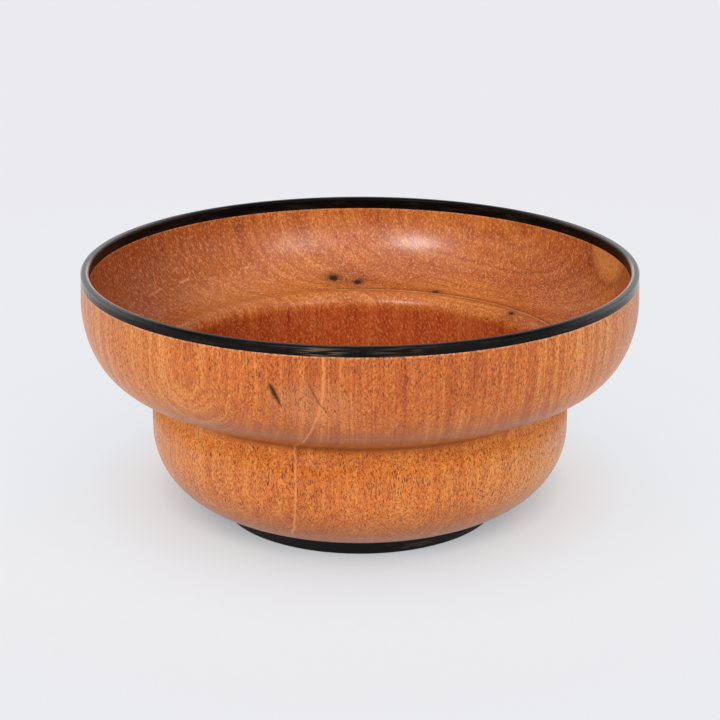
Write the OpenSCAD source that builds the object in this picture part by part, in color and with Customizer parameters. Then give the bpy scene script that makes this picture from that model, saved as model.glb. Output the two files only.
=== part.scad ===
// A footed two-tier bowl turned from one piece of wood, with a black ring
// round its rim and a black ring under its foot.
// Millimetres, +Z up, origin on the bowl's axis at the level it stands on.

/* [Bowl] */
// Outer diameter across the rim
rim_d = 160; // [130:1:200]
// Height from the underside of the foot to the top of the rim
bowl_h = 74; // [60:1:92]

/* [Upper tier] */
// Depth of the fullest part of the upper tier below the rim
full_drop = 8.8; // [6:0.2:13]
// How far the fullest part stands out past the rim
full_out = 0.2; // [0:0.1:1]
// Width of the upper tier's round, from the wall in towards the axis
round_w = 16; // [13:0.5:18]
// Height of the upper tier's round, from the fullest part down
round_h = 23; // [19:0.5:28]
// Slope of the surface where the round meets the cove, in degrees
flank = 25; // [20:1:32]

/* [Cove between the tiers] */
// Radius of the cove
cove_r = 3; // [2:0.25:4]
// Depth of the cove behind the side of the lower tier
cove_in = 1.4; // [0.6:0.1:2.2]

/* [Lower tier] */
// Step in from the rim to the side of the lower tier
step_in = 19.2; // [16:0.2:23]
// Radius of the lower tier's top edge
edge_r = 4.5; // [3:0.25:6]
// Height of the upright band round the lower tier
band_h = 6; // [2:0.5:9]
// How far the underside turns in from upright, in degrees
under_turn = 71; // [50:1:86]

/* [Foot ring] */
// Height of the foot ring
foot_h = 6; // [4:0.5:8]
// Step in from the side of the lower tier to the top of the foot ring
foot_in = 15.2; // [12:0.2:19]
// How far the foot ring spreads between the floor and its top
foot_flare = 5.8; // [2:0.2:8]
// Width of the flat that the foot ring stands on
foot_land = 5.5; // [3:0.5:9]
// Height of the hollow inside the foot ring above the floor
foot_hollow = 2.4; // [1:0.2:3.6]
// Size of the softened edges of the foot ring
foot_edge = 0.4; // [0.2:0.1:0.8]

/* [Rim ring] */
// Width of the rim ring, which is the wall's thickness at the rim
rim_w = 2.3; // [1.8:0.1:4]
// Height of the rim ring's outer face
rim_out_h = 2.6; // [1.8:0.1:4]
// How much deeper the rim ring's inner face is than its outer face
rim_lap = 0.8; // [0.4:0.1:1.5]
// Radius of the rounded edges along the top of the rim ring
rim_edge = 0.7; // [0.4:0.1:0.9]

/* [Wall] */
// Thickness of the wall at the side of the lower tier
side_wall = 3.8; // [2.6:0.2:6.4]
// Thickness of the wall straight below the upper tier's round
under_wall = 5.8; // [4:0.2:8]
// Width of the round inside the upper tier
inside_w = 17; // [12:0.5:17.5]
// Slope of the ledge between the upper tier's inside and the well, in degrees
ledge = 6; // [2:1:20]
// Radius of the soft shoulder where the well begins
shoulder_r = 4; // [2:0.25:4.5]
// Thickness of the floor of the well
floor_wall = 6.4; // [4:0.2:9]
// Width of the round between the well's side and its flat floor
well_round = 30; // [18:1:36]

/* [Joints] */
// Gap left for glue round the foot's spigot and beside the rim's lap
glue_gap = 0.05; // [0.02:0.01:0.15]

/* [Hidden] */

wood = "peru";
blackwood = "#1c1a1a";
turn_fn = 180;
long_steps = 20;
short_steps = 8;

// Outer side of the upper tier, which is an elliptic round above a straight flank
rim_r = rim_d / 2;
full_r = rim_r + full_out;
full_z = bowl_h - full_drop;
round_turn = atan2(round_h, round_w * tan(flank));
flank_r = full_r - round_w * (1 - cos(round_turn));
flank_z = full_z - round_h * sin(round_turn);

// Cove and lower tier, worked down from the flank so that each surface runs into the next
belly_r = rim_r - step_in;
cove_x = belly_r - cove_in + cove_r;
cove_z = flank_z - (flank_r - cove_x) * tan(flank) - cove_r / cos(flank);
edge_x = belly_r - edge_r;
edge_turn = acos((cove_x - edge_x) / (edge_r + cove_r));
edge_z = cove_z - (edge_r + cove_r) * sin(edge_turn);
belly_z = edge_z - band_h;

// Foot ring, whose bore holds a spigot on the underside of the wood
foot_top_r = belly_r - foot_in;
foot_floor_r = foot_top_r - foot_flare;
bore_r = foot_floor_r - foot_land;
spigot_r = bore_r - glue_gap;
bevel_r = foot_floor_r + foot_edge * foot_flare / foot_h;

// Rim ring, lapped over a step along the top of the wood
rim_in_r = rim_r - rim_w;
seat_z = bowl_h - rim_out_h;
lap_z = seat_z - rim_lap;
lap_r = rim_r - rim_w / 2;
tongue_r = lap_r - glue_gap;

// Inner side of the upper tier, which is an elliptic round from the rim ring down to the ledge
inside_h = lap_z - (full_z - round_h + under_wall);
inside_x = rim_in_r - inside_w;
inside_turn = atan2(inside_h, inside_w * tan(ledge));
ledge_r = inside_x + inside_w * cos(inside_turn);
ledge_z = lap_z - inside_h * sin(inside_turn);

// Well
well_r = belly_r - side_wall;
shoulder_x = well_r + shoulder_r;
shoulder_z = ledge_z - (ledge_r - shoulder_x) * tan(ledge) - shoulder_r / cos(ledge);
floor_z = foot_hollow + floor_wall;

// Points of an elliptic arc about [x, z] with half-axes w and h
function arc(x, z, w, h, from, to, steps) = [
    for (i = [0:steps])
        let (a = from + (to - from) * i / steps)
        [x + w * cos(a), z + h * sin(a)]
];

// Points of an elliptic arc from p up to q that turns through an angle and ends upright
function up_to(p, q, turn, steps) = [
    for (i = [steps:-1:0])
        let (a = turn * i / steps)
        [q[0] + (p[0] - q[0]) * (1 - cos(a)) / (1 - cos(turn)), q[1] + (p[1] - q[1]) * sin(a) / sin(turn)]
];

// Outer side of the wood, from the foot ring up to the rim ring
function outer_side() = concat(
    up_to([foot_top_r, foot_h], [belly_r, belly_z], under_turn, long_steps),
    arc(edge_x, edge_z, edge_r, edge_r, 0, edge_turn, short_steps),
    arc(cove_x, cove_z, cove_r, cove_r, 180 + edge_turn, 90 + flank, short_steps),
    arc(full_r - round_w, full_z, round_w, round_h, -round_turn, 0, long_steps),
    [[rim_r, seat_z]]
);

// Step along the top of the wood that the rim ring is glued to
function rim_step() = [[lap_r, seat_z], [lap_r, lap_z]];

// Inner side of the wood, from the rim ring down to the middle of the well's floor
function inner_side() = concat(
    arc(inside_x, lap_z, inside_w, inside_h, 0, -inside_turn, long_steps),
    arc(shoulder_x, shoulder_z, shoulder_r, shoulder_r, 90 + ledge, 180, short_steps),
    arc(well_r - well_round, belly_z, well_round, belly_z - floor_z, 0, -90, long_steps),
    [[0, floor_z]]
);

// Underside of the wood, with the spigot that fits the foot ring
function underside() = [[0, foot_hollow], [spigot_r, foot_hollow], [spigot_r, foot_h]];

module bowl_body()
    color(wood)
    rotate_extrude($fn = turn_fn)
    polygon(concat(underside(), outer_side(), rim_step(), inner_side()));

module rim_ring()
    color(blackwood)
    rotate_extrude($fn = turn_fn)
    polygon(concat(
        [[tongue_r, lap_z], [tongue_r, seat_z], [rim_r, seat_z]],
        arc(rim_r - rim_edge, bowl_h - rim_edge, rim_edge, rim_edge, 0, 90, short_steps),
        arc(rim_in_r + rim_edge, bowl_h - rim_edge, rim_edge, rim_edge, 90, 180, short_steps),
        [[rim_in_r, lap_z]]
    ));

module foot_ring()
    color(blackwood)
    rotate_extrude($fn = turn_fn)
    polygon([
        [bore_r, foot_h],
        [bore_r, foot_edge],
        [bore_r + foot_edge, 0],
        [foot_floor_r - foot_edge, 0],
        [bevel_r, foot_edge],
        [foot_top_r, foot_h]
    ]);

bowl_body();
rim_ring();
foot_ring();
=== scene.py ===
"""Looks of a turned wooden bowl with a black rim ring and a black foot ring.

Meshes are in metres, and materials work in mm. Angles round the bowl start at its front, -Y, and grow
towards +X.
"""

from math import acos, atan2, ceil, cos, pi, radians, sin, tan
from types import SimpleNamespace

import bmesh
import bpy
import numpy as np
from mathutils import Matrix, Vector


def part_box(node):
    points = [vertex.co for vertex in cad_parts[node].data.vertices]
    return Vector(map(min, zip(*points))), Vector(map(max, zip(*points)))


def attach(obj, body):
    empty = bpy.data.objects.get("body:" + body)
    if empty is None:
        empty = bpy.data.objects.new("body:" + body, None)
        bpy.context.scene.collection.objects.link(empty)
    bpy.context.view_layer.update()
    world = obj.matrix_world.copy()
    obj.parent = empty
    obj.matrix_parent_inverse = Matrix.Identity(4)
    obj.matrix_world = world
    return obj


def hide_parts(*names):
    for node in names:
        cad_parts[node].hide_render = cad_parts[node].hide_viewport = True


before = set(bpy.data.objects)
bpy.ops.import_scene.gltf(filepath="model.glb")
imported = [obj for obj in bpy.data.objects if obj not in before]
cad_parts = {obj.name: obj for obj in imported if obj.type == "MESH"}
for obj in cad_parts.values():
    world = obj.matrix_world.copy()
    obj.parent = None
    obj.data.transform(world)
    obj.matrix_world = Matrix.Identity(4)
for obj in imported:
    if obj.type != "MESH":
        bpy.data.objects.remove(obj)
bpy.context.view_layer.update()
MM = 0.001

# ---------- overall sizes, from the frame ----------

body_low, body_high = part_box("bowl_body")
rim_low, rim_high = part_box("rim_ring")
foot_low, foot_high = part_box("foot_ring")
rim_r = (rim_high.x - rim_low.x) / 2
full_r = (body_high.x - body_low.x) / 2
foot_top_r = (foot_high.x - foot_low.x) / 2
bowl_h = rim_high.z
foot_h = foot_high.z
lap_z = rim_low.z
foot_hollow = body_low.z


# ---------- camera ----------

CAMERA_BACK, CAMERA_UP = 7.362, 2.9785  # from the middle of the foot, in rim radii
CAMERA_TILT = 71.784  # degrees up from straight down


def add_camera():
    """A long lens, level from side to side, looking down into the bowl from its front."""
    data = bpy.data.cameras.new("camera")
    data.lens = 105.98
    data.sensor_width = 36
    camera = bpy.data.objects.new("camera", data)
    bpy.context.scene.collection.objects.link(camera)
    camera.location = (0, -CAMERA_BACK * rim_r, CAMERA_UP * rim_r)
    camera.rotation_euler = (radians(CAMERA_TILT), 0, 0)
    bpy.context.scene.camera = camera
    bpy.context.scene.view_settings.view_transform = "Standard"


# ---------- outlines, as the frame's own solids have them ----------

ARC_STEPS = 400


def arc(x, z, wide, high, start, end):
    """An elliptic arc about (x, z) between two angles."""
    turn = np.linspace(start, end, ARC_STEPS)
    return np.stack([x + wide * np.cos(turn), z + high * np.sin(turn)], 1)


def up_to(p, q, turn):
    """From p up to q, where the curve ends upright."""
    a = np.linspace(turn, 0, ARC_STEPS)
    across = (1 - np.cos(a)) / (1 - cos(turn))
    up = np.sin(a) / sin(turn)
    return np.stack([q[0] + (p[0] - q[0]) * across, q[1] + (p[1] - q[1]) * up], 1)


def line(*points):
    return np.array(points, float)


# outer side of the upper tier
full_z = bowl_h - 8.8 * MM
round_w, round_h, flank = 16 * MM, 23 * MM, radians(25)
round_turn = atan2(round_h, round_w * tan(flank))
flank_r = full_r - round_w * (1 - cos(round_turn))
flank_z = full_z - round_h * sin(round_turn)

# cove, lower tier and foot
belly_r = rim_r - 19.2 * MM
cove_r = 3 * MM
cove_x = belly_r - 1.4 * MM + cove_r
cove_z = flank_z - (flank_r - cove_x) * tan(flank) - cove_r / cos(flank)
edge_r = 4.5 * MM
edge_x = belly_r - edge_r
edge_turn = acos((cove_x - edge_x) / (edge_r + cove_r))
edge_z = cove_z - (edge_r + cove_r) * sin(edge_turn)
belly_z = edge_z - 6 * MM
foot_floor_r = foot_top_r - 5.8 * MM
bore_r = foot_floor_r - 5.5 * MM
spigot_r = bore_r - 0.05 * MM

# rim ring, and the step it is lapped over
rim_in_r = rim_r - 2.3 * MM
seat_z = lap_z + 0.8 * MM
lap_r = rim_r - 1.15 * MM
tongue_r = lap_r - 0.05 * MM

# inner side of the upper tier, ledge and well
ledge = radians(6)
inside_w = 17 * MM
inside_h = lap_z - (full_z - round_h + 5.8 * MM)
inside_x = rim_in_r - inside_w
inside_turn = atan2(inside_h, inside_w * tan(ledge))
ledge_r = inside_x + inside_w * cos(inside_turn)
ledge_z = lap_z - inside_h * sin(inside_turn)
well_r = belly_r - 3.8 * MM
shoulder_r = 4 * MM
shoulder_x = well_r + shoulder_r
shoulder_z = ledge_z - (ledge_r - shoulder_x) * tan(ledge) - shoulder_r / cos(ledge)
floor_z = foot_hollow + 6.4 * MM
well_round = 30 * MM


def outer_runs():
    """The outside of the wood, from the foot ring up to the rim ring."""
    cove = arc(cove_x, cove_z, cove_r, cove_r, pi + edge_turn, pi / 2 + flank)
    return [
        up_to((foot_top_r, foot_h), (belly_r, belly_z), radians(71)),
        line((belly_r, belly_z), (belly_r, edge_z)),
        arc(edge_x, edge_z, edge_r, edge_r, 0, edge_turn),
        cove,
        np.concatenate([
            line(cove[-1], (flank_r, flank_z)),
            arc(full_r - round_w, full_z, round_w, round_h, -round_turn, 0)[1:],
            line((rim_r, seat_z)),
        ]),
    ]


def inner_runs():
    """The inside of the wood, from the rim ring down to the middle of the well's floor."""
    side = arc(inside_x, lap_z, inside_w, inside_h, 0, -inside_turn)
    shoulder = arc(shoulder_x, shoulder_z, shoulder_r, shoulder_r, pi / 2 + ledge, pi)
    bottom = arc(well_r - well_round, belly_z, well_round, belly_z - floor_z, 0, -pi / 2)
    return [
        side, line(side[-1], shoulder[0]), shoulder, line(shoulder[-1], (well_r, belly_z)),
        bottom, line(bottom[-1], (0, floor_z)),
    ]


def body_runs():
    """The wood's half outline, from its underside up the outside, over the rim's step and down the inside."""
    underside = [
        line((0, foot_hollow), (spigot_r, foot_hollow)),
        line((spigot_r, foot_hollow), (spigot_r, foot_h)),
        line((spigot_r, foot_h), (foot_top_r, foot_h)),
    ]
    seat = [
        line((rim_r, seat_z), (lap_r, seat_z)),
        line((lap_r, seat_z), (lap_r, lap_z)),
        line((lap_r, lap_z), (rim_in_r, lap_z)),
    ]
    return underside + outer_runs() + seat + inner_runs()


def rim_runs():
    round_edge = 0.7 * MM
    return [
        line((tongue_r, lap_z), (tongue_r, seat_z)),
        line((tongue_r, seat_z), (rim_r, seat_z)),
        line((rim_r, seat_z), (rim_r, bowl_h - round_edge)),
        arc(rim_r - round_edge, bowl_h - round_edge, round_edge, round_edge, 0, pi / 2),
        line((rim_r - round_edge, bowl_h), (rim_in_r + round_edge, bowl_h)),
        arc(rim_in_r + round_edge, bowl_h - round_edge, round_edge, round_edge, pi / 2, pi),
        line((rim_in_r, bowl_h - round_edge), (rim_in_r, lap_z)),
        line((rim_in_r, lap_z), (tongue_r, lap_z)),
    ]


def foot_runs():
    edge = 0.4 * MM
    bevel_r = foot_floor_r + edge * (foot_top_r - foot_floor_r) / foot_h
    corners = [
        (bore_r, foot_h), (bore_r, edge), (bore_r + edge, 0), (foot_floor_r - edge, 0),
        (bevel_r, edge), (foot_top_r, foot_h), (bore_r, foot_h),
    ]
    return [line(a, b) for a, b in zip(corners, corners[1:])]


# ---------- turning an outline into a mesh ----------

def spaced(start, end, gap):
    """Values from start to end that lie gap(value) apart."""
    fine = np.linspace(start, end, 20001)
    steps = np.concatenate([[0], np.cumsum(np.diff(fine) / gap(fine[:-1]))])
    count = max(1, ceil(steps[-1]))
    return np.interp(np.linspace(0, steps[-1], count + 1), steps, fine)


def along(run, gap):
    """Points on a run of the outline, gap(radius, height) apart. Its last point is left to the next run."""
    lengths = np.concatenate([[0], np.cumsum(np.hypot(*np.diff(run, axis=0).T))])

    def at(s):
        return np.interp(s, lengths, run[:, 0]), np.interp(s, lengths, run[:, 1])

    return np.stack(at(spaced(0, lengths[-1], lambda s: gap(*at(s)))), 1)[:-1]


def outward(outline, closed):
    """The way out of the solid at each point of an outline."""
    before = np.roll(outline, 1, 0) if closed else outline[[0, *range(len(outline) - 1)]]
    after = np.roll(outline, -1, 0) if closed else outline[[*range(1, len(outline)), -1]]
    way = after - before
    return np.stack([way[:, 1], -way[:, 0]], 1) / np.linalg.norm(way, axis=1)[:, None]


def swept_faces(rows, columns, closed):
    """Faces between rows and columns of points. The end rows of an open outline close to one point each."""
    j = np.arange(columns)
    k = (j + 1) % columns
    low = np.arange(rows if closed else rows - 1)
    high = (low + 1) % rows
    faces = np.stack([
        low[:, None] * columns + j, low[:, None] * columns + k,
        high[:, None] * columns + k, high[:, None] * columns + j,
    ], -1).reshape(-1, 4).tolist()
    if closed:
        return faces
    first, last = 0, (rows - 1) * columns
    bottom = [[first, face[2], face[3]] for face in faces[:columns]]
    top = [[face[0], face[1], last] for face in faces[-columns:]]
    return bottom + faces[columns:-columns] + top


FACES_AXIS = 0.05  # a surface whose way out leans less than this away from the axis is on the inside


def lathe(name, runs, turns, gap, closed, wear=None):
    """The solid that the outline sweeps round the axis, with its surface moved in where wear says."""
    outline = np.concatenate([along(run, gap) for run in runs] + ([] if closed else [runs[-1][-1:]]))
    rows, columns = len(outline), len(turns)
    r, z = (np.repeat(outline[:, i], columns) for i in (0, 1))
    out_r, out_z = (np.repeat(outward(outline, closed)[:, i], columns) for i in (0, 1))
    a = np.tile(turns, rows)
    dent, stain_and_shade = wear(r, z, a) if wear else (np.zeros(len(r)), np.zeros(len(r)))
    r = r - dent * out_r
    z = z - dent * out_z
    points = np.stack([r * np.sin(a), -r * np.cos(a), z], 1)
    mesh = bpy.data.meshes.new(name)
    mesh.from_pydata(points.tolist(), [], swept_faces(rows, columns, closed))
    for attribute, values in (("stain_and_shade", stain_and_shade), ("inside", out_r < FACES_AXIS)):
        mesh.attributes.new(attribute, "FLOAT", "POINT").data.foreach_set("value", values.astype(np.float32))
    piece = bpy.data.objects.new(name, mesh)
    bpy.context.scene.collection.objects.link(piece)
    drop_loose(mesh)
    mesh.shade_smooth()
    mesh.set_sharp_from_angle(angle=radians(38))
    return piece


def drop_loose(mesh):
    """Takes away the unused points of the rows that meet the axis."""
    work = bmesh.new()
    work.from_mesh(mesh)
    bmesh.ops.delete(work, geom=[v for v in work.verts if not v.link_faces], context="VERTS")
    bmesh.ops.recalc_face_normals(work, faces=work.faces)
    work.to_mesh(mesh)
    work.free()


# ---------- wear on the bowl ----------

PIN_HOLES = [  # degrees round, radius and half width in mm
    (-172.8, 68.0, 0.85), (-179.3, 66.2, 0.75), (157.6, 63.0, 0.6), (128.3, 59.4, 0.5),
]
LEDGE_LINE = 61.6  # radius in mm
SCAR = [(-16.9, 63.4), (-15.9, 60.6), (-14.6, 57.0)]  # degrees round, height in mm
CRACK = [(-9.6, 65.0), (-8.7, 61.8), (-7.3, 58.2), (-5.3, 55.0)]


def within(value, low, high):
    """Where a radius or height lies between two values in mm."""
    return (value > low * MM) & (value < high * MM)


def on_ledge(z):
    return within(z, 45, 52.5)


def bell(distance, width):
    return np.exp(-(distance / width) ** 2)


def to_path(r, z, turn, path):
    """Distance to a path on the outside, and how far along it, from 0 to 1."""
    x, y = turn * r, z
    nearest, share = np.full(len(r), 1.0), np.zeros(len(r))
    parts = len(path) - 1
    for i in range(parts):
        (d0, h0), (d1, h1) = path[i], path[i + 1]
        x0, x1 = radians(d0) * full_r, radians(d1) * full_r
        y0, y1 = h0 * MM, h1 * MM
        t = ((x - x0) * (x1 - x0) + (y - y0) * (y1 - y0)) / ((x1 - x0) ** 2 + (y1 - y0) ** 2)
        t = np.clip(t, 0, 1)
        d = np.hypot(x - x0 - t * (x1 - x0), y - y0 - t * (y1 - y0))
        closer = d < nearest
        nearest = np.where(closer, d, nearest)
        share = np.where(closer, (i + t) / parts, share)
    return nearest, share


def ledge_wear(r, z, turn):
    """A line turned round the ledge, clearest at the back right, with painted shade in and beside its groove,
    and the pin holes with their dark halos.
    """
    ledge_here = on_ledge(z) & within(r, 58, 70)
    shown = ledge_here * (0.45 + 0.55 * np.cos((turn - radians(150)) / 2) ** 6)
    off_line = r / MM - LEDGE_LINE
    dent = shown * MM * (0.06 * bell(off_line + 0.75, 0.4) - 0.07 * bell(off_line, 0.22))
    # dark bands in and beside the turned groove: painted shade
    stain_and_shade = shown * (0.3 * bell(off_line - 0.5, 0.4) + 0.2 * bell(off_line + 0.8, 0.45))
    for degrees, hole_r, wide in PIN_HOLES:
        round_hole = (turn - radians(degrees) + pi) % (2 * pi) - pi
        off_hole = np.hypot(r - hole_r * MM, 0.75 * r * round_hole)
        dent += ledge_here * 0.5 * MM * bell(off_hole, wide * MM)
        stain_and_shade += ledge_here * (bell(off_hole, 1.35 * wide * MM) + 0.34 * bell(off_hole, 3.4 * wide * MM))
    return dent, stain_and_shade


def front_wear(r, z, turn):
    """The scar and the fine crack on the front of the upper tier."""
    front = (r > 76 * MM) & (z < 68 * MM) & (np.abs(turn) < 0.5)
    off_scar, share = to_path(r, z, turn, SCAR)
    wide = (0.12 + 0.62 * np.sin(pi * share ** 0.8)) * MM
    scar = front * bell(off_scar, wide)
    off_crack, share = to_path(r, z, turn, CRACK)
    crack = front * bell(off_crack, 0.17 * MM) * (0.45 + 0.55 * np.sin(pi * share))
    return 0.34 * MM * scar + 0.2 * MM * crack, scar + 0.85 * crack


def chips(r, z, turn):
    """Small losses along the arris under the rim ring."""
    draw = np.random.default_rng(7)
    at_arris = (r > rim_r - 0.4 * MM) & (z > seat_z - 1.2 * MM) & (z < seat_z + 0.01 * MM)
    dent = np.zeros(len(r))
    for _ in range(70):
        centre, wide, deep = draw.uniform(-pi, pi), draw.uniform(0.5, 1.6), draw.uniform(0.03, 0.16)
        off_chip = np.hypot(full_r * (turn - centre), 2.2 * (z - seat_z))
        dent += deep * MM * bell(off_chip, wide * MM)
    return at_arris * np.minimum(dent, 0.2 * MM)


def bowl_wear(r, z, a):
    """How far in the surface is worn, and how dark it is stained or painted with shade."""
    turn = (a + pi) % (2 * pi) - pi
    ledge_dent, ledge_stain_and_shade = ledge_wear(r, z, turn)
    front_dent, front_stain = front_wear(r, z, turn)
    return ledge_dent + front_dent + chips(r, z, turn), np.clip(ledge_stain_and_shade + front_stain, 0, 1)


def body_gap(r, z):
    """Rows lie closer at the rounded edges, the pin holes and the scar, and further apart on flat faces."""
    flat = (z < foot_h + 0.01 * MM) | ((z < floor_z + 0.01 * MM) & (r < well_r - well_round))
    gap = np.where(flat, 4 * MM, 1.3 * MM)
    gap = np.where((r > 77 * MM) & within(z, 54, 66), 0.3 * MM, gap)
    for _, hole_r, wide in PIN_HOLES:
        gap = np.where(on_ledge(z) & (np.abs(r - hole_r * MM) < 2 * wide * MM), 0.22 * MM, gap)
    rounded = within(r, 56, 62.5) & within(z, 30, 49)
    gap = np.where(rounded, 0.45 * MM, gap)
    gap = np.where(rounded & (z > 46 * MM) & (r > 60 * MM), 0.22 * MM, gap)
    return np.where((r > rim_r - 0.5 * MM) & (z > seat_z - 1.4 * MM), 0.3 * MM, gap)


def even_gap(gap):
    return lambda r, z: np.full(np.shape(r), gap)


def body_turns():
    """Columns lie closer at the scar, the crack and the pin holes."""
    def gap(a):
        found = np.full(np.shape(a), radians(1.5))
        found = np.where((a > radians(-18)) & (a < radians(-4.5)), radians(0.2), found)
        for degrees, _, wide in PIN_HOLES:
            found = np.where(np.abs(a - radians(degrees)) < radians(1.7 * wide), radians(0.16), found)
        return found
    return spaced(-pi, pi, gap)[:-1]


# ---------- materials ----------

class Paint:
    """One node material, and short ways to add its nodes. A share runs from 0 to 1."""

    def __init__(self, name):
        self.material = bpy.data.materials.new(name)
        self.material.use_nodes = True
        self.tree = self.material.node_tree
        self.tree.nodes.clear()

    def add(self, kind, inputs, output=0, **settings):
        node = self.tree.nodes.new("ShaderNode" + kind)
        for key, value in settings.items():
            setattr(node, key, value)
        for key, value in inputs.items():
            socket = node.inputs[key]
            if isinstance(value, bpy.types.NodeSocket):
                self.tree.links.new(value, socket)
            else:
                socket.default_value = value
        return node.outputs[output]

    def in_mm(self):
        """The place on the piece, in mm in the frame's axes."""
        return self.vector("MULTIPLY", self.add("TexCoord", {}, "Object"), (1000, 1000, 1000))

    def maths(self, operation, a, b=0.0, c=0.0):
        return self.add("Math", {0: a, 1: b, 2: c}, operation=operation)

    def vector(self, operation, a, b=(0, 0, 0)):
        return self.add("VectorMath", {0: a, 1: b}, operation=operation)

    def length(self, a):
        return self.add("VectorMath", {0: a}, "Value", operation="LENGTH")

    def plus(self, a, b):
        return self.maths("ADD", a, b)

    def times(self, first, *others):
        for other in others:
            first = self.maths("MULTIPLY", first, other)
        return first

    def highest(self, first, *others):
        for other in others:
            first = self.maths("MAXIMUM", first, other)
        return first

    def scaled(self, value, gain, start):
        return self.maths("MULTIPLY_ADD", value, gain, start)

    def rest(self, share):
        """What a share leaves of 1."""
        return self.maths("SUBTRACT", 1.0, share)

    def off(self, value, middle):
        return self.maths("ABSOLUTE", self.maths("SUBTRACT", value, middle))

    def ease(self, value, start, end, low=0.0, high=1.0):
        """low up to start and high from end, with a smooth step between."""
        return self.add("MapRange", {
            "Value": value, "From Min": start, "From Max": end, "To Min": low, "To Max": high,
        }, interpolation_type="SMOOTHSTEP")

    def fade(self, value, start, end):
        """1 up to start and 0 from end."""
        return self.ease(value, start, end, 1.0, 0.0)

    def noise(self, place, scale, detail=2.0, rough=0.5, output=0):
        return self.add("TexNoise", {
            "Vector": self.vector("MULTIPLY", place, scale),
            "Scale": 1.0, "Detail": detail, "Roughness": rough,
        }, output)

    def noise_along(self, value, pitch, detail=2.0, rough=0.5):
        """Noise that changes only with a value."""
        return self.add("TexNoise", {
            "W": self.times(value, pitch), "Scale": 1.0, "Detail": detail, "Roughness": rough,
        }, noise_dimensions="1D")

    def cover(self, share, colour, rgb, mode="MIX"):
        """The colour with a share of rgb over it."""
        return self.add("Mix", {0: share, 6: colour, 7: (*rgb, 1)}, 2, data_type="RGBA", blend_type=mode)

    def tint(self, share, colour, rgb):
        """The colour with a share of it multiplied by rgb."""
        return self.cover(share, colour, rgb, "MULTIPLY")

    def ramp(self, value, stops):
        output = self.add("ValToRGB", {0: value})
        elements = output.node.color_ramp.elements
        while len(elements) < len(stops):
            elements.new(0.5)
        for element, (position, rgb) in zip(elements, stops):
            element.position = position
            element.color = (*rgb, 1)
        return output

    def off_centre(self, place, centre, size):
        """0 at the centre of an ellipsoid of that half size in mm, and 1 on it."""
        return self.length(self.vector("DIVIDE", self.vector("SUBTRACT", place, centre), size))

    def spot(self, place, centre, size, start=0.3):
        """1 inside an ellipsoid, fading from that part of its half size to 0 at its edge."""
        return self.fade(self.off_centre(place, centre, size), start, 1.0)

    def stroke(self, place, start, end, width):
        """1 along a straight thin mark between two points in mm, fading to 0 at its sides and ends."""
        start, end = np.array(start, float), np.array(end, float)
        half = np.linalg.norm(end - start) / 2
        way = (end - start) / (2 * half)
        off = self.length(self.vector("CROSS_PRODUCT", self.vector("SUBTRACT", place, start), way))
        near = self.spot(place, (start + end) / 2, (half, half, half), 0.6)
        return self.times(self.fade(off, 0.3 * width, width), near)

    def finish(self, **sockets):
        """The Principled shader, with sockets named in lower case."""
        def title(name):
            return name.replace("_", " ").title().replace("Ior", "IOR")

        surface = self.add("BsdfPrincipled", {title(name): value for name, value in sockets.items()})
        output = self.tree.nodes.new("ShaderNodeOutputMaterial")
        self.tree.links.new(surface, output.inputs["Surface"])
        return self.material


PALE = (0.86, 0.40, 0.17)
SCRATCHES = [  # start, end and share
    ((-56.7, 45.5, 54.6), (-53.1, 50.0, 54.9), 0.5), ((-65.2, 31.5, 54.2), (-60.9, 40.0, 54.7), 0.36),
    ((-37.8, 62.2, 54.7), (-33.8, 64.5, 54.7), 0.32), ((-58.7, 46.7, 58.4), (-56.7, 49.3, 58.7), 0.32),
]
BROWN_STREAKS = [((-10, -79.5, 72.6), 0.75), ((9, -79, 72.6), 0.3), ((17, -39, 3), 0.5)]  # middle and share


def areas(p, place):
    """The coordinates, the distance from the axis, and how far round to its sides a point is."""
    at = SimpleNamespace()
    at.x, at.y, at.z = p.add("SeparateXYZ", {0: place}).node.outputs
    at.radius = p.length(p.vector("MULTIPLY", place, (1, 1, 0)))
    at.aside = p.maths("DIVIDE", p.maths("ABSOLUTE", at.x), at.radius)
    return at


def wood_areas(p, place):
    """Masks of the bowl's areas."""
    at = areas(p, place)
    at.inside = p.add("Attribute", {}, "Fac", attribute_name="inside")
    at.outside = p.rest(at.inside)
    at.left_inside = p.times(p.fade(at.x, -76, -28), at.inside)
    at.right_inside = p.times(p.ease(at.x, 40, 72), at.inside)
    at.well = p.times(p.fade(at.z, 42.3, 45), at.inside)
    at.front = p.fade(at.y, -58, -38)
    at.groove = p.times(p.ease(at.z, 37, 39.5), p.fade(at.z, 41, 44), at.outside)
    at.over_groove = p.times(p.ease(at.z, 38, 42), p.fade(at.z, 45, 54), at.outside)
    at.beside_foot = p.times(p.fade(at.z, 6, 24), at.outside)
    at.rubbed = p.highest(at.groove, at.over_groove, p.fade(at.z, 7, 13))
    at.open_grain = p.scaled(at.rubbed, -0.75, 1.0)
    at.ringed = p.times(p.ease(at.z, 32, 44, 0.3, 1.0), p.scaled(at.left_inside, -0.7, 1.0))
    return at


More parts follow.
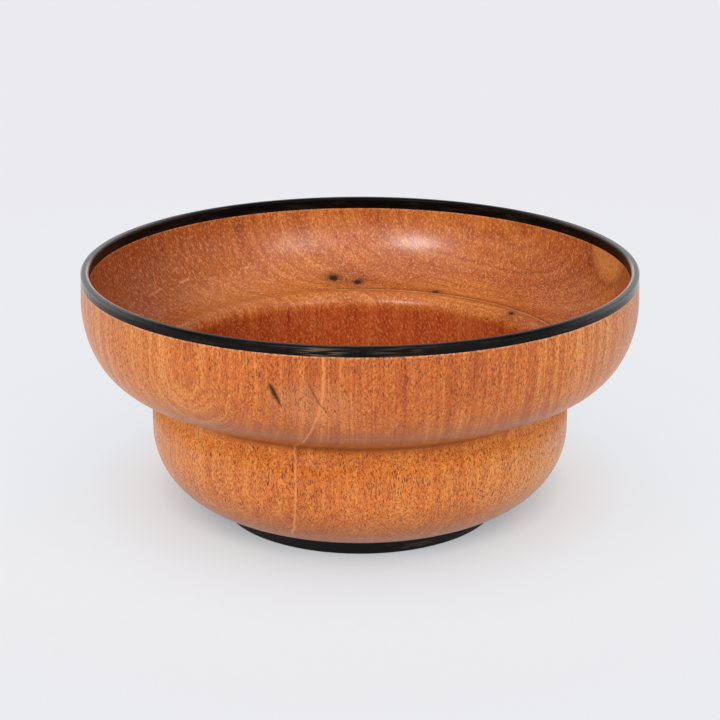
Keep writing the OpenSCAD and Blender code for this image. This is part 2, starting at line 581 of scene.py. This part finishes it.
def wood_grain(p, place):
    """The wood's own patterns, which run along Z and sway a little."""
    def swayed(start, scale, far):
        lean = p.vector("SUBTRACT", p.noise(place, scale, 1.0, output=1), (0.5, 0.5, 0.5))
        return p.vector("ADD", start, p.vector("MULTIPLY", lean, (far, far, 0)))

    grain = SimpleNamespace()
    grain.place = swayed(place, (0.04, 0.04, 0.01), 5)
    grain.pore_place = swayed(grain.place, (0.3, 0.3, 0.28), 1.6)
    # the growth rings' pith lies outside the bowl, at its front left
    off_pith = p.length(p.vector("MULTIPLY", p.vector("ADD", grain.place, (56, 80, 0)), (1, 1, 0.05)))
    grain.rings = p.noise_along(off_pith, 0.33, 3.0, 0.62)
    grain.fine_rings = p.noise_along(off_pith, 1.5, 1.0)
    grain.blotches = p.noise(place, (0.028, 0.028, 0.02))
    grain.streaks = p.noise(grain.place, (0.5, 0.5, 0.02), 2.0, 0.55)
    grain.fibres = p.noise(grain.place, (2.4, 2.4, 0.16), 2.0, 0.6)
    grain.speckle = p.noise(grain.pore_place, (1.7, 1.7, 1.0), 3.0, 0.7)
    return grain


def wood_pores(p, at, grain):
    """Open pores, finest where the wood is rubbed smooth: dashes on upright faces, dots on sloping ones."""
    def vessels(place, pitch, long, size):
        cell = p.vector("DIVIDE", place, (pitch, pitch, long))
        return p.fade(p.add("TexVoronoi", {"Vector": cell, "Scale": 1.0}), size, 1.45 * size)

    apart = p.vector("ADD", grain.pore_place, (31, 17, 5))
    dashes = p.highest(vessels(grain.pore_place, 0.36, 2.4, 0.2), vessels(apart, 0.58, 4.2, 0.17))
    dashes = p.times(dashes, p.ease(p.noise(grain.place, (0.3, 0.3, 0.06)), 0.3, 0.55, 0.4, 1.0))
    dots = p.times(vessels(grain.pore_place, 0.6, 0.9, 0.2), 0.75)
    return p.times(p.highest(dashes, dots), at.open_grain, p.scaled(at.inside, -0.45, 1.0))


def bare_wood(p, at, grain):
    """The wood's colour before anything happened to it."""
    turned = p.noise_along(at.z, 1.9)
    tone = 0.5
    for pattern, gain, mask in [
        (grain.rings, 0.75, at.ringed), (grain.fine_rings, 0.4, at.ringed), (grain.blotches, 0.5, 1.0),
        (grain.streaks, 0.55, 1.0), (grain.fibres, 0.4, 1.0), (grain.speckle, 1.4, at.open_grain),
        (turned, 0.5, at.rubbed),
    ]:
        tone = p.plus(tone, p.times(p.maths("SUBTRACT", pattern, 0.5), mask, gain))
    # paler on the outside towards the sides, round to ±X: a painted sheen
    tone = p.plus(tone, p.times(p.ease(at.aside, 0.35, 1.0), at.outside, 0.2))
    # lighter on the outside below the groove: painted light against the shade under the upper tier
    tone = p.plus(tone, p.times(p.ease(at.z, 36, 38, 0.1, 0.0), at.outside))
    return p.ramp(tone, [
        (0.05, (0.30, 0.056, 0.008)), (0.36, (0.49, 0.110, 0.014)),
        (0.60, (0.61, 0.165, 0.024)), (0.95, (0.76, 0.290, 0.065)),
    ])


def tinted_areas(p, place, at, colour):
    """Redder wood at the front and over most of the inside, and a deeper red in the well. The inside is
    darkened with painted shade at its left and right, most at the left, and in the middle of the ledge.
    """
    red_front = p.times(p.spot(place, (10, -80, 64), (48, 22, 20)), 0.9)
    # the middle of the ledge is darkened: painted shade
    mid_ledge_shade = p.times(p.spot(place, (8, 67, 51), (38, 13, 6)), at.inside)
    for share, rgb in [
        (red_front, (0.85, 0.76, 0.72)), (at.inside, (0.92, 0.89, 0.84)), (at.well, (0.82, 0.55, 0.64)),
        # the inside's left and right are darkened, the left most: painted shade
        (at.left_inside, (0.66, 0.50, 0.58)), (at.right_inside, (0.86, 0.80, 0.90)),
        (mid_ledge_shade, (0.86, 0.80, 0.84)),
    ]:
        colour = p.tint(share, colour, rgb)
    return colour


def patches(p, place, at, grain, colour):
    """A painted sheen on the ledge at the left, a pale patch round the scar, and a yellow one inside at the
    right.
    """
    # a painted sheen on the left of the ledge
    ledge_sheen = p.times(p.spot(place, (-42, 52, 50), (26, 24, 6)), at.inside)
    colour = p.cover(p.times(ledge_sheen, 0.1), colour, (0.90, 0.50, 0.28))
    pale = p.spot(place, (-12, -78, 58), (17, 12, 9), 0.35)
    colour = p.cover(p.times(pale, 0.42), colour, (0.60, 0.225, 0.085))
    off_yellow = p.off_centre(place, (76, 23, 70), (12, 14, 9))
    yellow = p.times(p.fade(off_yellow, 0.5, 1.0), at.inside)
    colour = p.cover(p.times(yellow, 0.55), colour, (0.90, 0.38, 0.10))
    rings = p.ease(p.noise_along(off_yellow, 11.0), 0.45, 0.62)
    speckled = p.ease(grain.speckle, 0.4, 0.55, 1.0, 0.3)
    colour = p.cover(p.times(rings, speckled, yellow, 0.4), colour, (0.40, 0.105, 0.020))
    edge = p.times(p.fade(p.off(off_yellow, 1.0), 0.03, 0.16), at.inside)
    return p.cover(p.times(edge, 0.42), colour, (0.20, 0.050, 0.012))


def turned_line(p, at, colour):
    """The line turned round the ledge near its inner edge is dark with a pale edge."""
    on_ledge = p.times(p.fade(at.z, 50, 52), p.ease(at.x, -16, 8), at.inside)
    dark = p.fade(p.off(at.radius, 62.5), 0.15, 0.6)
    colour = p.cover(p.times(dark, on_ledge, 0.5), colour, (0.16, 0.040, 0.010))
    pale = p.fade(p.off(at.radius, 61.5), 0.1, 0.45)
    return p.cover(p.times(pale, on_ledge, 0.3), colour, PALE)


def small_marks(p, place, at, colour):
    """Short pale scratches and a smudge inside at the left, and bruised arrises beside the rim ring."""
    for start, end, share in SCRATCHES:
        colour = p.cover(p.times(p.stroke(place, start, end, 0.6), share), colour, (0.80, 0.38, 0.17))
    smudge = p.spot(place, (-39, 67, 67.6), (3.5, 3.5, 3), 0.1)
    colour = p.cover(p.times(smudge, 0.35), colour, (0.10, 0.020, 0.008))
    outer_arris = p.times(p.ease(at.z, 70.75, 71.15), at.outside)
    inner_arris = p.times(p.ease(at.z, 70.0, 70.5), at.inside)
    here_and_there = p.ease(p.noise(place, (0.9, 0.9, 0.9)), 0.42, 0.6, 0.1, 0.65)
    bruised = p.times(p.highest(outer_arris, inner_arris), here_and_there)
    return p.cover(bruised, colour, (0.80, 0.36, 0.16))


def painted_glints(p, at, colour):
    """Pale flecks inside the bowl, which lean to one side: painted glints where the lacquer sparkles."""
    leaning = p.add("CombineXYZ", {0: p.scaled(at.z, 0.4, at.x), 1: at.y, 2: at.z})
    # painted glints
    flecks = p.ease(p.noise(leaning, (1.7, 1.7, 1.0)), 0.54, 0.64)
    return p.cover(p.times(flecks, p.scaled(at.well, -0.14, 0.42), at.inside), colour, PALE)


def painted_shade(p, at, colour):
    """Painted shade in the groove between the tiers and above it, most at the front, and beside the foot
    ring.
    """
    in_groove = p.times(at.groove, p.scaled(at.front, 0.46, 0.14))
    above = p.times(at.over_groove, at.front, 0.46)
    return p.cover(p.highest(in_groove, p.times(at.beside_foot, 0.55), above), colour, (0.12, 0.035, 0.010))


def pale_line(p, place, at, colour):
    """One pale growth line down the front, left of the middle, where x is nearly a cubic of y."""
    line_x = -6.803e-4
    for term in (-0.12288, -7.5423, -174.13):
        line_x = p.maths("MULTIPLY_ADD", at.y, line_x, term)
    jitter = p.times(p.maths("SUBTRACT", p.noise(place, (0.1, 0.1, 0.5)), 0.5), 1.2)
    off_line = p.maths("ABSOLUTE", p.plus(p.maths("SUBTRACT", at.x, line_x), jitter))
    on_line = p.times(p.fade(off_line, 0.12, 0.42), p.fade(at.y, -51, -50))
    return p.cover(p.times(on_line, 0.5), colour, (0.78, 0.31, 0.09))


def polish(p, at, stain_and_shade):
    """How much the lacquer shines: less near the groove, on the ledge and at the sides, none on stains or
    painted shade.
    """
    near_groove = p.fade(p.off(at.z, 35), 2.5, 8)
    dull_outside = p.highest(p.times(near_groove, 0.9), 0.45)
    inside_sides = p.ease(p.maths("ABSOLUTE", at.x), 45, 72)
    dull_inside = p.highest(p.times(inside_sides, 0.5), p.ease(at.z, 47, 60, 0.4, 0.0))
    dull = p.highest(p.times(dull_outside, at.outside), p.times(dull_inside, at.inside))
    return p.times(p.rest(dull), p.rest(stain_and_shade))


def wood():
    """Lacquered, open-pored, reddish wood."""
    p = Paint("turned_wood")
    place = p.in_mm()
    at = wood_areas(p, place)
    grain = wood_grain(p, place)
    pores = wood_pores(p, at, grain)
    stain_and_shade = p.add("Attribute", {}, "Fac", attribute_name="stain_and_shade")

    colour = bare_wood(p, at, grain)
    colour = tinted_areas(p, place, at, colour)
    colour = patches(p, place, at, grain, colour)
    colour = turned_line(p, at, colour)
    colour = small_marks(p, place, at, colour)
    colour = painted_glints(p, at, colour)
    colour = p.cover(p.times(pores, p.ease(at.z, 32, 48, 1.0, 0.8)), colour, (0.080, 0.014, 0.004))
    # painted shade in the groove, above it at the front, and beside the foot ring
    colour = painted_shade(p, at, colour)
    colour = pale_line(p, place, at, colour)
    # stains, and the painted shade at the ledge's turned groove
    colour = p.cover(p.times(stain_and_shade, 0.96), colour, (0.020, 0.010, 0.009))

    height = p.plus(p.times(pores, -1.0), p.times(grain.fibres, 0.5))
    height = p.plus(height, p.times(grain.speckle, 0.8))
    bump = p.add("Bump", {"Strength": 0.35, "Distance": 0.00008, "Height": height})
    soft = p.add("Bump", {"Strength": 0.25, "Distance": 0.00008, "Height": grain.speckle})
    return p.finish(base_color=colour, roughness=p.scaled(grain.fibres, 0.2, 0.4), ior=1.4,
                    specular_ior_level=0.15, normal=bump, coat_weight=polish(p, at, stain_and_shade),
                    coat_roughness=0.27, coat_ior=1.5, coat_normal=soft)


def black(name, roughness, shine, coat):
    """Black lacquered wood with brown streaks. The top of the rim ring has a painted grey reflection at its
    sides, and its inner arris a painted highlight.
    """
    p = Paint(name)
    place = p.in_mm()
    at = areas(p, place)
    along = p.times(p.maths("ARCTAN2", at.x, at.y), 80)
    strip = p.add("CombineXYZ", {0: along, 1: at.radius, 2: at.z})
    smear = p.noise(strip, (0.09, 1.1, 1.1), 2.0, 0.6)
    cloud = p.noise(strip, (0.35, 1.5, 1.5), 2.0, 0.6)
    colour = p.ramp(p.plus(p.times(smear, 0.8), p.times(cloud, 0.2)), [
        (0.35, (0.0024, 0.0019, 0.0018)), (0.55, (0.0048, 0.0034, 0.0030)),
        (0.68, (0.020, 0.014, 0.010)), (0.80, (0.085, 0.055, 0.032)),
    ])
    streaked = p.ease(p.noise(strip, (0.16, 1.6, 2.2), 0.0), 0.42, 0.66)
    for centre, share in BROWN_STREAKS:
        light = p.times(p.spot(place, centre, (9, 4, 1.8), 0.35), streaked)
        colour = p.cover(p.times(light, share), colour, (0.13, 0.090, 0.055))

    at_sides = p.ease(at.aside, 0.5, 1.0)
    on_top = p.ease(at.radius, 77.75, 78.2)
    # a paler grey at the sides of the rim's top: a painted reflection
    painted_sheen = p.times(at_sides, at_sides, p.ease(at.z, 72.6, 73.6), on_top)
    colour = p.cover(p.times(painted_sheen, 0.5), colour, (0.25, 0.245, 0.25))
    # the inner arris is painted pale at the sides, most towards the front: a painted highlight on its rounded
    # edge
    arris = p.times(p.fade(at.radius, 78.3, 78.6), p.ease(at.z, 73.15, 73.45), at_sides)
    arris_highlight = p.times(arris, p.ease(at.y, -10, 10, 1.0, 0.1))
    colour = p.cover(p.times(arris_highlight, 0.6), colour, (0.80, 0.62, 0.56))

    bump = p.add("Bump", {"Strength": 0.3, "Distance": 0.00006, "Height": cloud})
    gloss = p.times(p.scaled(at_sides, 2 * coat, coat), on_top)
    return p.finish(base_color=colour, roughness=p.scaled(cloud, 0.2, roughness), ior=1.4,
                    specular_ior_level=shine, normal=bump,
                    coat_weight=gloss, coat_roughness=0.12, coat_ior=1.25)


# ---------- studio ----------

FLOOR_REACH = 6.0  # metres from the bowl to the floor's sides
GLOW_REACH = 400  # mm from the bowl's axis to where the floor's own light is even


def add_floor():
    """A pale floor which lights itself in part, so that shadows on it stay faint. Its own light is dimmed
    close round the foot, a painted shadow, and made brighter and cooler a little further out, painted light.
    """
    p = Paint("studio_floor")
    from_bowl = p.vector("MULTIPLY", p.vector("SUBTRACT", p.in_mm(), (0, 20, 0)), (1, 1, 0))
    # dim near the foot: painted shadow; brighter and cooler further out: painted light; even far off
    glow_and_painted_shadow = p.ramp(p.times(p.length(from_bowl), 1 / GLOW_REACH), [
        (0.112, (0.22, 0.225, 0.24)), (0.134, (0.34, 0.345, 0.355)), (0.159, (0.49, 0.505, 0.515)),
        (0.21, (0.495, 0.545, 0.575)), (0.36, (0.485, 0.505, 0.53)), (1.0, (0.482, 0.482, 0.502)),
    ])
    p.finish(base_color=(0.482, 0.482, 0.498, 1), roughness=1.0, specular_ior_level=0.0,
             emission_color=glow_and_painted_shadow, emission_strength=1.0)
    mesh = bpy.data.meshes.new("studio_floor")
    corners = [(FLOOR_REACH * x, FLOOR_REACH * y, 0) for x, y in ((-1, -1), (1, -1), (1, 1), (-1, 1))]
    mesh.from_pydata(corners, [], [(0, 1, 2, 3)])
    mesh.materials.append(p.material)
    floor = bpy.data.objects.new("studio_floor", mesh)
    bpy.context.scene.collection.objects.link(floor)


def add_sun(name, degrees, above, spread, strength, lit=None):
    """A wide, far light, degrees round from the front towards +X. It shines on all, or on one collection."""
    data = bpy.data.lights.new(name, "SUN")
    data.energy = strength
    data.angle = radians(spread)
    light = bpy.data.objects.new(name, data)
    bpy.context.scene.collection.objects.link(light)
    light.rotation_euler = (radians(90 - above), 0, radians(degrees))
    if lit:
        light.light_linking.receiver_collection = lit


def add_world():
    """White all round at the level of the bowl and dimmer overhead, least so behind the bowl."""
    world = bpy.data.worlds.new("studio")
    bpy.context.scene.world = world
    world.use_nodes = True
    tree = world.node_tree

    def ranged(value, limits):
        node = tree.nodes.new("ShaderNodeMapRange")
        for key, limit in limits.items():
            node.inputs[key].default_value = limit
        tree.links.new(value, node.inputs["Value"])
        return node

    place = tree.nodes.new("ShaderNodeTexCoord")
    split = tree.nodes.new("ShaderNodeSeparateXYZ")
    tree.links.new(place.outputs["Generated"], split.inputs[0])
    overhead = ranged(split.outputs[1], {"From Min": 0.2, "From Max": 0.8, "To Min": 0.45, "To Max": 0.6})
    level = ranged(split.outputs[2], {"From Min": 0.08, "From Max": 0.4, "To Min": 1.0})
    tree.links.new(overhead.outputs[0], level.inputs["To Max"])
    sky = tree.nodes["Background"]
    sky.inputs["Color"].default_value = (0.845, 0.838, 0.838, 1)
    tree.links.new(level.outputs[0], sky.inputs["Strength"])


# ---------- everything in its place ----------

def dress(piece, node, material):
    """Gives a piece its material, and lets it stand for its CAD node."""
    piece.data.materials.append(material)
    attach(piece, "root")
    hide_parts(node)


add_camera()
even_turns = np.linspace(-pi, pi, 361)[:-1]  # a column every degree
body = lathe("bowl_body_look", body_runs(), body_turns(), body_gap, closed=False, wear=bowl_wear)
rim = lathe("rim_ring_look", rim_runs(), even_turns, even_gap(0.35 * MM), closed=True)
foot = lathe("foot_ring_look", foot_runs(), even_turns, even_gap(0.8 * MM), closed=True)
dress(body, "bowl_body", wood())
dress(rim, "rim_ring", black("black_rim", 0.2, 0.07, 0.25))
dress(foot, "foot_ring", black("black_foot", 0.45, 0.04, 0.0))
add_floor()
lit = bpy.data.collections.new("lit_by_lamps")
for piece in (body, rim, foot):
    lit.objects.link(piece)
add_sun("left_front_light", -27, 27, 16, 1.05, lit)
add_sun("right_front_light", 30, 27, 24, 0.45, lit)
add_sun("top_light", 0, 55, 90, 1.12)
add_world()
